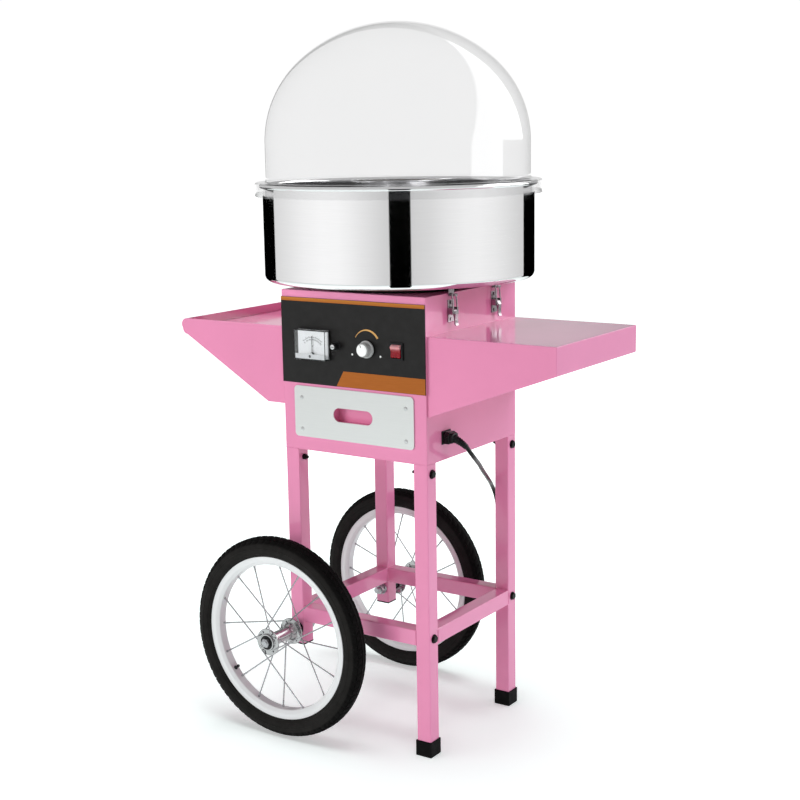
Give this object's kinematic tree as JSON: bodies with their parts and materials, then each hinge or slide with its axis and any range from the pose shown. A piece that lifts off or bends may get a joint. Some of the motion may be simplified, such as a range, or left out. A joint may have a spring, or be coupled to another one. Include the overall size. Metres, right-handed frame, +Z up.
{
  "type": "cotton candy cart",
  "caption": "Cotton candy cart: pink sheet-metal cabinet with drawer, side trays, steel bowl, clear dome and spinning head on a tube stand with spoked wheels.",
  "frame": {"origin": "on the floor under the axis of the spinning head, in the middle of the cart", "axes": "+Z up, -Y towards the front with the control panel and drawer, -X towards the wheels"},
  "size_m": [0.833, 0.535, 1.3423],
  "materials": {
    "pink_paint": "glossy powder coat",
    "rubber": "matte",
    "black_steel": "satin black",
    "zinc_steel": "zinc plated",
    "panel_print": "satin black print with orange bands",
    "black_plastic": "fine texture",
    "dial_white": "printed scale",
    "clear_plastic": "clear, glossy",
    "grey_plastic": "moulded",
    "cord_pvc": "soft satin",
    "polished_steel": "mirror polished stainless",
    "chrome": "bright plated",
    "motor_paint": "enamel",
    "phenolic": "phenolic board",
    "knob_plastic": "silver and grey",
    "red_plastic": "translucent red",
    "brushed_steel": "fine horizontal brushing",
    "cast_aluminium": "satin",
    "heater_alloy": "heat-tinted",
    "tyre_rubber": "ribbed tread",
    "white_paint": "gloss white",
    "spoke_steel": "bright galvanised"
  },
  "bodies": {
    "cart": {"left_side_frame": "pink_paint", "right_side_frame": "pink_paint", "cross_rails": "pink_paint", "tray_left": "pink_paint", "tray_right": "pink_paint", "body_shell": "pink_paint", "bottom_plate": "pink_paint", "back_panel": "pink_paint", "leg_caps": "rubber", "bowl_seat": "rubber", "frame_bolts": "black_steel", "panel_screws": "zinc_steel", "drawer_runners": "zinc_steel", "motor_bracket": "zinc_steel", "axles": "zinc_steel", "control_panel": "panel_print", "voltmeter_case": "black_plastic", "fuse_holder": "black_plastic", "switch_housing": "black_plastic", "power_inlet": "black_plastic", "voltmeter_dial": "dial_white", "voltmeter_lens": "clear_plastic", "regulator": "grey_plastic", "cord_connector": "cord_pvc", "power_cord": "cord_pvc", "cord_hank": "cord_pvc", "mains_plug": "cord_pvc", "bowl": "polished_steel", "bowl_catches": "chrome", "latch_bases": "chrome", "motor": "motor_paint", "brush_holder": "phenolic"},
    "wheel_front": {"tyre_front": "tyre_rubber", "rim_front": "white_paint", "spokes_front": "spoke_steel", "hub_front": "cast_aluminium"},
    "wheel_back": {"tyre_back": "tyre_rubber", "rim_back": "white_paint", "spokes_back": "spoke_steel", "hub_back": "cast_aluminium"},
    "drawer": {"drawer_box": "pink_paint", "drawer_front": "brushed_steel", "drawer_rivets": "chrome"},
    "knob": {"temperature_knob": "knob_plastic"},
    "rocker": {"switch_rocker": "red_plastic"},
    "needle": {"voltmeter_needle": "black_plastic"},
    "fuse_carrier": {"fuse_cap": "black_plastic"},
    "dome_cover": {"dome": "clear_plastic"},
    "spinner": {"motor_shaft": "zinc_steel", "spinner_cup": "cast_aluminium", "spinner_heater": "heater_alloy", "spinner_cap": "cast_aluminium"},
    "lever_front_right": {"latch_lever_front_right": "chrome"},
    "bail_front_right": {"latch_bail_front_right": "chrome"},
    "lever_front_left": {"latch_lever_front_left": "chrome"},
    "bail_front_left": {"latch_bail_front_left": "chrome"},
    "lever_back_right": {"latch_lever_back_right": "chrome"},
    "bail_back_right": {"latch_bail_back_right": "chrome"},
    "lever_back_left": {"latch_lever_back_left": "chrome"},
    "bail_back_left": {"latch_bail_back_left": "chrome"}
  },
  "joints": [
    {"name": "wheel_front_spin", "type": "hinge", "parent": "cart", "child": "wheel_front", "pos_m": [-0.145, -0.2156, 0.197], "axis": [0, 1, 0], "continuous": true},
    {"name": "wheel_back_spin", "type": "hinge", "parent": "cart", "child": "wheel_back", "pos_m": [-0.145, 0.2156, 0.197], "axis": [0, 1, 0], "continuous": true},
    {"name": "drawer_slide", "type": "slide", "parent": "cart", "child": "drawer", "axis": [0, -1, 0], "range_m": [0, 0.2]},
    {"name": "knob_turn", "type": "hinge", "parent": "cart", "child": "knob", "pos_m": [0.036, -0.172, 0.7585], "axis": [0, 1, 0], "range_deg": [-110, 110]},
    {"name": "switch_rock", "type": "hinge", "parent": "cart", "child": "rocker", "pos_m": [0.1, -0.161, 0.759], "axis": [-1, 0, 0], "range_deg": [0, 16]},
    {"name": "needle_swing", "type": "hinge", "parent": "cart", "child": "needle", "pos_m": [-0.084, -0.169, 0.742], "axis": [0, 1, 0], "range_deg": [-45, 45]},
    {"name": "fuse_cap_twist", "type": "hinge", "parent": "cart", "child": "fuse_carrier", "pos_m": [-0.032, -0.17, 0.7595], "axis": [0, 1, 0], "range_deg": [0, 90]},
    {"name": "dome_lift", "type": "slide", "parent": "cart", "child": "dome_cover", "axis": [0, 0, 1], "range_m": [0, 0.3]},
    {"name": "spinner_spin", "type": "hinge", "parent": "cart", "child": "spinner", "pos_m": [0, 0, 0.9], "axis": [0, 0, 1], "continuous": true},
    {"name": "latch_front_right", "type": "hinge", "parent": "cart", "child": "lever_front_right", "pos_m": [0.168, -0.077, 0.826], "axis": [0, -1, 0], "range_deg": [0, 120]},
    {"name": "bail_front_right", "type": "hinge", "parent": "lever_front_right", "child": "bail_front_right", "pos_m": [0.1715, -0.077, 0.821], "axis": [0, -1, 0], "range_deg": [-118, 0]},
    {"name": "latch_front_left", "type": "hinge", "parent": "cart", "child": "lever_front_left", "pos_m": [-0.168, -0.077, 0.826], "axis": [0, 1, 0], "range_deg": [0, 120]},
    {"name": "bail_front_left", "type": "hinge", "parent": "lever_front_left", "child": "bail_front_left", "pos_m": [-0.1715, -0.077, 0.821], "axis": [0, 1, 0], "range_deg": [-118, 0]},
    {"name": "latch_back_right", "type": "hinge", "parent": "cart", "child": "lever_back_right", "pos_m": [0.168, 0.077, 0.826], "axis": [0, -1, 0], "range_deg": [0, 120]},
    {"name": "bail_back_right", "type": "hinge", "parent": "lever_back_right", "child": "bail_back_right", "pos_m": [0.1715, 0.077, 0.821], "axis": [0, -1, 0], "range_deg": [-118, 0]},
    {"name": "latch_back_left", "type": "hinge", "parent": "cart", "child": "lever_back_left", "pos_m": [-0.168, 0.077, 0.826], "axis": [0, 1, 0], "range_deg": [0, 120]},
    {"name": "bail_back_left", "type": "hinge", "parent": "lever_back_left", "child": "bail_back_left", "pos_m": [-0.1715, 0.077, 0.821], "axis": [0, 1, 0], "range_deg": [-118, 0]}
  ],
  "couplings": [
    {"joint": "bail_front_right", "follows": "latch_front_right", "ratio": -0.98},
    {"joint": "bail_front_left", "follows": "latch_front_left", "ratio": -0.98},
    {"joint": "bail_back_right", "follows": "latch_back_right", "ratio": -0.98},
    {"joint": "bail_back_left", "follows": "latch_back_left", "ratio": -0.98}
  ]
}
